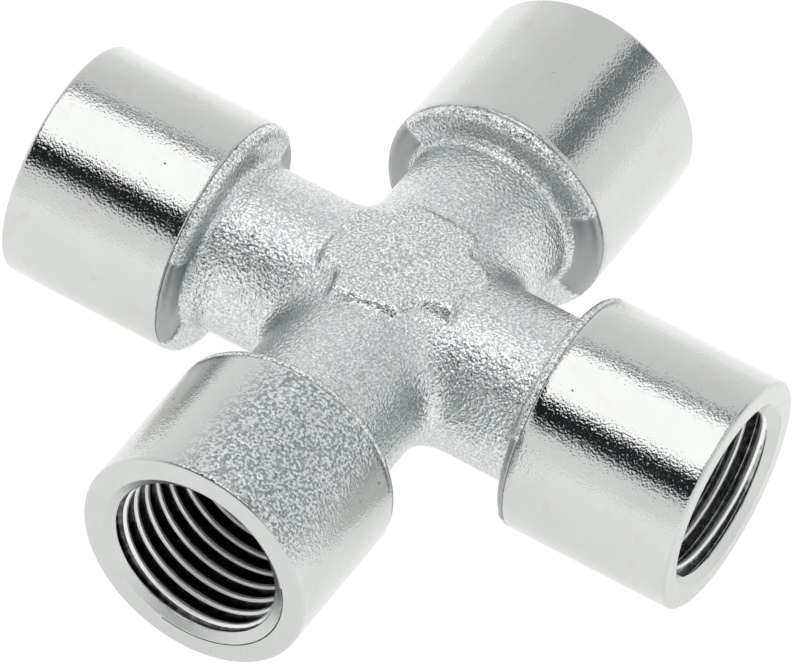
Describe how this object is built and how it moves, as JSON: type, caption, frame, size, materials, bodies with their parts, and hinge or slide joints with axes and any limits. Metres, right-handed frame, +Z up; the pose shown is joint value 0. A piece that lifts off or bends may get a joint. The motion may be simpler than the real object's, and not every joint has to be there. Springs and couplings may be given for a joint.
{
  "type": "cross fitting",
  "caption": "Equal cross pipe fitting: a forged, nickel-plated brass hub with turned sockets at right angles, each with a female pipe thread.",
  "frame": {"origin": "where the axes of the four mouths cross, which is the centre of the box", "axes": "+X runs out of the right mouth and +Y out of the back mouth; +Z is up, square to both, along the shortest extent"},
  "size_m": [0.0506, 0.0506, 0.0164],
  "materials": {
    "forged_nickel": "nickel-plated, blasted forging",
    "turned_nickel": "nickel-plated, turned and bright"
  },
  "bodies": {
    "root": {"forged_core": "forged_nickel", "socket_front": "turned_nickel", "socket_right": "turned_nickel", "socket_back": "turned_nickel", "socket_left": "turned_nickel"}
  },
  "joints": []
}
